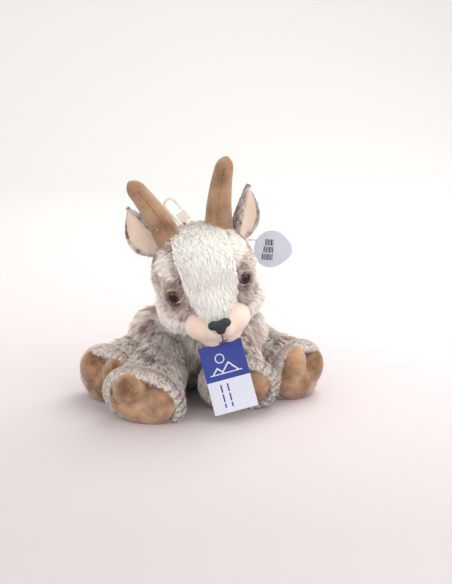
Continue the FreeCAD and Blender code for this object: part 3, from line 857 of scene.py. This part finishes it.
def build_horn(side, sign):
    rings, sectors = HORN_RINGS, 28
    points = []
    seam_angle = math.radians(-90 - sign * 18)
    for ring in range(rings + 1):
        at, turn, radius = horn_ring(sign, ring / rings)
        for sector in range(sectors):
            angle = 2 * math.pi * sector / sectors
            gap = abs((angle - seam_angle + math.pi) % (2 * math.pi) - math.pi)
            pull = 1 - GROOVE_DEPTH * math.exp(-(gap / 0.22) ** 2)
            wrinkle = 1 + 0.02 * math.sin(ring * 1.9 + 2 * math.sin(angle * 2)) * math.exp(-gap)
            offset = Vector((math.cos(angle), math.sin(angle) * HORN_OVAL, 0)) * radius * pull * wrinkle
            points.append(tuple(at + turn @ offset))
    faces = []
    for ring in range(rings):
        for sector in range(sectors):
            after = (sector + 1) % sectors
            a, b = ring * sectors, (ring + 1) * sectors
            faces.append((a + sector, a + after, b + after, b + sector))
    faces.append(tuple(range(sectors))[::-1])
    faces.append(tuple(rings * sectors + s for s in range(sectors)))
    horn = link(f"horn_{side}", new_mesh(f"horn_{side}", points, faces, HEAD), HORN_VELOUR)
    subdivide(horn)
    finish_piece(horn, "head", "tan_velour", f"horn_cover_{side}", f"horn_stuffing_{side}", fill=0.9)
    stitches(side, sign, seam_angle)


def stitches(side, sign, seam_angle):
    """Short dark stitches in the groove along the front of the horn."""
    points, faces = [], []
    count, first, run, in_groove = 26, 0.06, 0.84, 0.915
    seam_way = Vector((math.cos(seam_angle), math.sin(seam_angle) * HORN_OVAL, 0))
    grain = BALL_POINTS * np.array([0.45, 0.45, 1.0])
    for stitch in range(count):
        at, turn, radius = horn_ring(sign, first + run * stitch / count)
        spot = at + turn @ (seam_way * radius * in_groove)
        base = len(points)
        points.extend(tuple(spot + turn @ Vector(p)) for p in grain)
        faces.extend(tuple(base + i for i in face) for face in BALL_FACES)
    mesh = new_mesh(f"horn_stitches_{side}", points, faces, HEAD)
    shade_smooth(mesh)
    finish_piece(link(f"horn_stitches_{side}", mesh, TAN_THREAD), "head", "thread")


EAR_REACH = 54.0
EAR_HALF = 22.0
EAR_FACING = {-1: Vector((-0.42, -0.9, 0.1)), 1: Vector((0.8, -0.6, 0.1))}
EAR_SHIFT = {-1: Vector((5, 0, 0)), 1: Vector((1, 0, -9))}


def ear_surface(across, up, sign):
    """A point of the ear leaf before it gets its thickness: across -1..1, up 0..1."""
    half = EAR_HALF * (math.sin(math.pi * min(1.0, up * 0.94 + 0.10)) ** 0.85) * (1 - 0.2 * up)
    cup = 9.0 * across ** 2 * math.sin(math.pi * min(1.0, up * 0.9 + 0.16))
    fold = 4.2 * math.exp(-((across + 0.1) / 0.15) ** 2) * math.exp(-((up - 0.35) / 0.38) ** 2)
    curl = 1.5 * max(0.0, -across) ** 2
    return Vector((sign * across * half, 3.0 - cup - curl + fold * 0.8, up * EAR_REACH))


def build_ear(side, sign):
    """A cupped leaf: velour lining on its outer half, fur wrapped round from behind."""
    root = pivot(f"ear_{side}_flap")
    tip_way = (middle(f"ear_back_{side}") - root).normalized()
    root = root + HEAD.to_3x3() @ EAR_SHIFT[sign]
    face_way = HEAD.to_3x3() @ EAR_FACING[sign]
    face_way = (face_way - tip_way * face_way.dot(tip_way)).normalized()
    place = axes_matrix(tip_way.cross(face_way), face_way * -1, tip_way, root)
    points, faces, lining = ear_leaf(sign)
    ear = link(f"ear_{side}", new_mesh(f"ear_{side}", points, faces, place), BEIGE_VELOUR, BACKING)
    ear.data.polygons.foreach_set("material_index", lining)
    subdivide(ear)
    finish_piece(ear, f"ear_{side}", "beige_velour", f"ear_lining_{side}", f"ear_back_{side}", fill=0.3)
    build_ear_fur(side, sign, ear, place, np.array(tip_way))


def ear_leaf(sign):
    """Points and faces of the leaf, and each face's material: 0 lining, 1 backing."""
    rows, columns = 22, 18
    points = []
    for layer in (0, 1):
        for row in range(rows + 1):
            for column in range(columns + 1):
                across = (column / columns * 2 - 1) * sign
                point = ear_surface(across, row / rows, sign)
                point.y += layer * (3.2 * (1 - across ** 2) + 1.2)
                points.append(tuple(point))
    faces = []
    stride = columns + 1
    layer_size = stride * (rows + 1)
    for layer in (0, 1):
        for row in range(rows):
            for column in range(columns):
                a = layer * layer_size + row * stride + column
                quad = (a, a + 1, a + stride + 1, a + stride)
                faces.append(quad if layer == 0 else quad[::-1])
    edge = [row * stride for row in range(rows + 1)]
    for a, b in zip(edge, edge[1:]):
        faces.append((a, b, b + layer_size, a + layer_size))
        a, b = a + columns, b + columns
        faces.append((b, a, a + layer_size, b + layer_size))
    for column in range(columns):
        a = column
        faces.append((a + 1, a, a + layer_size, a + 1 + layer_size))
        a = rows * stride + column
        faces.append((a, a + 1, a + 1 + layer_size, a + layer_size))
    lining = []
    for index, face in enumerate(faces):
        outer_half = sum(points[i][0] for i in face) / len(face) * sign > -2.5
        lining.append(0 if index < rows * columns and outer_half else 1)
    return points, faces, lining


def build_ear_fur(side, sign, ear, place, lead):
    def keep(roots, normals):
        local = to_local(roots, place)
        facing = to_local(roots + normals, place) - local
        inner_half = local[:, 0] * sign < -3.0
        heights = np.clip(local[:, 2] / EAR_REACH, 0, 1)
        widths = np.array([abs(ear_surface(1.0, up, sign).x) for up in heights])
        rim = np.abs(local[:, 0]) > 0.88 * np.maximum(3.0, widths)
        return (facing[:, 1] > 0.12) | rim | inner_half | (heights > 0.97)

    coat = fur(f"ear_fur_{side}", ear, 30000, TAUPE_FUR, steady(lead),
               lambda r, n: 5.2 - 3.0 * np.clip(to_local(r, place)[:, 2] / EAR_REACH, 0, 1),
               lambda r, n: 0.04 + 0.94 * patchy(r, 5.0, 9.0) ** 2.2, keep, lift=0.3, tuft=2.2,
               streaks=0.15)
    finish_piece(coat, f"ear_{side}", "taupe_fur")


# ---- legs ----

FOOT_SCALE = 0.86
LEG_STYLE = {        # millimetres and degrees; edge scales the rolled fur edge, puff the toes
    "foreleg_left": {"wide": 38.0, "tall": 30.0, "twist": -20, "cleft": -8, "shift": (-3, -3, 7),
                     "puff": 1.0, "edge": 0.90},
    "foreleg_right": {"wide": 36.0, "tall": 28.0, "twist": -6, "cleft": -8, "shift": (0, -3, -5),
                      "puff": 0.62, "edge": 0.92},
    "hindleg_left": {"wide": 34.0, "tall": 33.0, "twist": 0, "cleft": -4, "shift": (-4, -1, 2),
                     "puff": 1.0, "edge": 0.84},
    "hindleg_right": {"wide": 31.0, "tall": 34.0, "twist": -8, "cleft": -10, "shift": (0, 0, 2),
                      "puff": 1.1, "edge": 0.82},
}


def build_leg(name):
    """Fur sleeve that widens towards the foot, with its sole and rolled fur edge."""
    place, length = leg_frame(name)
    style = LEG_STYLE[name]
    wide, tall = style["wide"] * FOOT_SCALE, style["tall"] * FOOT_SCALE
    shift = Vector(style["shift"])
    twist = Quaternion((0, 0, 1), math.radians(style["twist"]))
    rim = length - 6
    lumps = [lump((0, 2, 4), (21, 19, 18))]
    for share in np.linspace(0.15, 0.84, 7):
        girth = 0.66 + 0.30 * share
        lumps.append(lump(shift * share + Vector((0, 0, rim * share)),
                          (wide * girth, tall * girth, 13), twist))
    base = stuffed(f"{name}_form", lumps, place, 3.4, 5, BACKING)
    keep_above_floor(base, 0.6)
    finish_piece(base, name, "taupe_fur", f"{name}_fur", f"{name}_stuffing", fill=0.7)

    lead = np.array(place.to_3x3() @ Vector((0, 0, 1)))
    down = np.array([0, 0, -0.55])

    def keep(roots, normals):
        local = to_local(roots, place)
        return (local[:, 2] < rim + 1) & (roots[:, 2] > 2.0)

    coat = fur(f"{name}_coat", base, 60000, TAUPE_FUR, steady(lead + down), even(9.5),
               lambda r, n: 0.02 + 0.95 * patchy(r, 7.0, 11.0) ** 3.0, keep, streaks=0.12)
    finish_piece(coat, name, "taupe_fur")
    foot = place @ Matrix.Translation(shift) @ twist.to_matrix().to_4x4()
    build_sole(name, foot, rim, style)
    build_cuff(name, foot, rim, style)


def build_sole(name, foot, rim, style):
    """Cloven suede sole: two puffed toes over a heel pad, with a sewn cleft between them."""
    wide, tall = style["wide"] * FOOT_SCALE, style["tall"] * FOOT_SCALE
    splay = Quaternion((0, 0, 1), math.radians(style["cleft"]))
    across = splay @ Vector((1, 0, 0))
    lumps = []
    for sign in (-1, 1):
        toe = across * (sign * wide * 0.48) + Vector((0, tall * 0.26, rim + 3))
        lumps.append(lump(toe, (wide * 0.50, tall * 0.72, 15.5 * style["puff"]), splay))
    heel = (0, -tall * 0.30, rim + 4 * style["puff"])
    lumps.append(lump(heel, (wide * 0.96, tall * 0.70, 13.5 * style["puff"])))
    lumps.append(lump((0, 0, rim - 5), (wide * 0.93, tall * 0.93, 8)))
    sole = stuffed(f"{name}_pad", lumps, foot, 1.3, 4, TAN_VELOUR)
    keep_above_floor(sole, 0.5)
    finish_piece(sole, name, "tan_velour", f"{name}_sole", fill=0.8)


def build_cuff(name, foot, rim, style):
    """Rolled fur edge round the sole."""
    wide, tall = style["wide"] * style["edge"], style["tall"] * style["edge"]
    lumps = []
    beads = 30
    for bead in range(beads):
        angle = 2 * math.pi * bead / beads
        lumps.append(lump((math.cos(angle) * wide, math.sin(angle) * tall, rim - 1), (4.6, 4.6, 6.5)))
    cuff = stuffed(f"{name}_cuff", lumps, foot, 1.9, 4, BACKING)
    keep_above_floor(cuff, 0.6)
    finish_piece(cuff, name, "taupe_fur", fill=0.4)
    lead = np.array(foot.to_3x3() @ Vector((0, 0, 1)))

    def flow(roots, normals):
        return np.tile(lead, (len(roots), 1)) + normals * 0.3

    def keep(roots, normals):
        return (roots[:, 2] > 1.2) & (to_local(roots, foot)[:, 2] > rim - 9)

    # Painted shade: dark bands along the pleats on the gathered side of the edge stand for the shade in
    # the creases of the gathers.
    def gather_crease_shade(roots, normals):
        local = to_local(roots, foot)
        angle = np.arctan2(local[:, 1] / tall, local[:, 0] / wide)
        pleat_shade = np.clip(np.sin(angle * 26 + 3 * patchy(roots, 12.0, 13.0)) * 1.6 - 0.5, 0, 1)
        outer = np.clip(0.35 + 0.65 * np.cos(angle + 0.3), 0, 1)
        return 0.02 + 0.95 * pleat_shade * outer

    coat = fur(f"{name}_cuff_coat", cuff, 32000, TAUPE_FUR, flow, even(4.6), gather_crease_shade, keep,
               lift=0.6, tuft=2.0)
    finish_piece(coat, name, "taupe_fur")


# ---- tags ----

def card_frame():
    """The card's own axes: X across, Y away from the viewer, Z up, origin at its hole."""
    hole = pivot("card_swing")
    low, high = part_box("card_tag")
    front = Vector(JOINTS["card_swing"]["axis"])
    centre = (low + high) / 2 / UNIT
    up = (hole - centre)
    up = (up - front * up.dot(front)).normalized()
    return axes_matrix(up.cross(front) * -1, front * -1, up, hole)


def plate(name, thickness, place, bend, materials, pick, grid):
    """A card as a grid of quads with thickness: bend and pick give each spot's offset and material."""
    columns, rows, x0, x1, z0, z1 = grid
    points = []
    for layer in (0.0, thickness):
        for row in range(rows + 1):
            for column in range(columns + 1):
                x = x0 + (x1 - x0) * column / columns
                z = z0 + (z1 - z0) * row / rows
                points.append((x, layer + bend(x, z), z))
    stride = columns + 1
    size = stride * (rows + 1)
    faces, marks = [], []
    for row in range(rows):
        for column in range(columns):
            a = row * stride + column
            faces.append((a, a + 1, a + stride + 1, a + stride))
            x = x0 + (x1 - x0) * (column + 0.5) / columns
            z = z0 + (z1 - z0) * (row + 0.5) / rows
            marks.append(pick(x, z))
            faces.append((a + size, a + stride + size, a + stride + 1 + size, a + 1 + size))
            marks.append(0)
    rim = [r * stride for r in range(rows + 1)] + [rows * stride + c for c in range(1, columns + 1)]
    rim += [r * stride + columns for r in range(rows - 1, -1, -1)] + list(range(columns - 1, 0, -1))
    for a, b in zip(rim, rim[1:] + rim[:1]):
        faces.append((a, b, b + size, a + size))
        marks.append(0)
    piece = link(name, new_mesh(name, points, faces, place), *materials)
    piece.data.polygons.foreach_set("material_index", marks)
    return piece


def build_card():
    """Printed hang card: blue over white, with a generic sun over two peaks and greeked lines."""
    place = card_frame() @ Matrix.Rotation(math.radians(-11), 4, "Z")
    half_width, low_z, high_z, thickness = 21.0, -58.0, 7.5, 0.7
    fold = low_z + 31.0
    white, blue = 0, 1

    def bend(x, z):
        return -0.0012 * (fold - z) ** 2 if z < fold else 0.0006 * (z - fold) ** 2

    def pick(x, z):
        if z < fold:
            on_line = any(abs(x * 0.98 - line) < 0.75 for line in (2.0, 8.5))
            word = (z - low_z) % 9.0 > 1.6
            return blue if on_line and word and low_z + 5 < z < fold - 3 else white
        sun = math.hypot(x - 3.5, z - (fold + 20.5))
        if 3.6 < sun < 4.6:
            return white
        height = z - (fold + 5.5)
        peaks = max(11.0 - abs(x + 3.5) * 1.15, 7.5 - abs(x - 8.0) * 1.1)
        slope = 0 < height < peaks and height > peaks - 2.1
        ground = 0 < height < 1.2 and -15 < x < 16
        return white if slope or ground else blue

    card = plate("printed_card", thickness, place, bend, (WHITE_CARD, BLUE_PRINT), pick,
                 (84, 131, -half_width, half_width, low_z, high_z))
    finish_piece(card, "card_tag", "printed_card", "card_tag")


def build_filament():
    """Nylon filament of the hang card, from the front of the neck to the card's hole."""
    low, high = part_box("card_tag_fastener")
    start = Vector((low.x, high.y, low.z)) / UNIT + Vector((1, -1, 1))
    end = pivot("card_swing") + Vector((0, 0.4, 0))
    thread = tube("card_filament", [start, end], 0.5, Matrix(), CLEAR)
    finish_piece(thread, "torso", "clear_plastic", "card_tag_fastener")


BLOCK_FACES = ((0, 1, 5, 4), (2, 6, 7, 3), (0, 4, 6, 2), (1, 3, 7, 5), (0, 2, 3, 1), (4, 5, 7, 6))


def build_price_card():
    """White card, round with a drawn-out point, with a generic bar pattern in relief."""
    low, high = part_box("barcode_card")
    centre = Vector(((low.x * 0.56 + high.x * 0.44), low.y, (low.z + high.z) / 2)) / UNIT
    place = Matrix.Translation(centre)
    outline = []
    steps, thickness = 96, 0.7
    for count in range(steps):
        angle = 2 * math.pi * count / steps
        radius = 18.0 + 4.2 * max(0.0, math.cos(angle + 0.12)) ** 6 - 0.8 * math.cos(2 * angle + 0.6)
        outline.append((math.cos(angle) * radius * 0.98, math.sin(angle) * radius))
    points = [(x, y, z) for y in (0, thickness) for x, z in outline]
    faces = [tuple(range(steps)), tuple(range(2 * steps - 1, steps - 1, -1))]
    faces += [(i, i + steps, (i + 1) % steps + steps, (i + 1) % steps) for i in range(steps)]
    card = link("price_card", new_mesh("price_card", points, faces, place), WHITE_CARD)
    finish_piece(card, "barcode_tag", "white_card", "barcode_card")
    build_price_bars(place @ Matrix.Rotation(math.radians(4), 4, "Y"))


def build_price_bars(place):
    """Three rows of upright bars standing a little proud of the card."""
    gap, tall = 0.6, 6.2
    bars, marks = [], []
    widths = (1.1, 0.5, 0.9, 0.6, 1.3, 0.5, 0.9, 0.6)
    for group in range(3):
        x, top = -8.5 + 1.2 * group, -9.5 + 7.4 * (group + 1) - 3.0
        for wide in widths[: 8 - group]:
            base = len(bars)
            bars += [(x + dx, dy, top + dz)
                     for dx in (0, wide) for dy in (-0.12, 0.05) for dz in (-tall, 0)]
            marks += [tuple(base + corner for corner in face) for face in BLOCK_FACES]
            x += wide + gap
    ink = link("price_bars", new_mesh("price_bars", bars, marks, place), INK)
    finish_piece(ink, "barcode_tag", "white_card")


def dress_cad_nodes():
    """CAD nodes that stay as they are get their finish."""
    finishes = {"hanger_hook": CLEAR, "hanger_strap": CLEAR, "barcode_loop": CLEAR, "care_label": SATIN}
    for name, material in finishes.items():
        node = frame["nodes"][name]
        node.data.materials.clear()
        node.data.materials.append(material)
        node.data.polygons.foreach_set("use_smooth", [name != "care_label"] * len(node.data.polygons))


build_camera()
build_stage()
build_torso()
build_neck()
build_tail()
build_head()
build_muzzle()
build_eyes()
build_nose()
for side_name, side_sign in SIDES.items():
    build_horn(side_name, side_sign)
    build_ear(side_name, side_sign)
for leg_name in LEG_STYLE:
    build_leg(leg_name)
build_card()
build_filament()
build_price_card()
dress_cad_nodes()
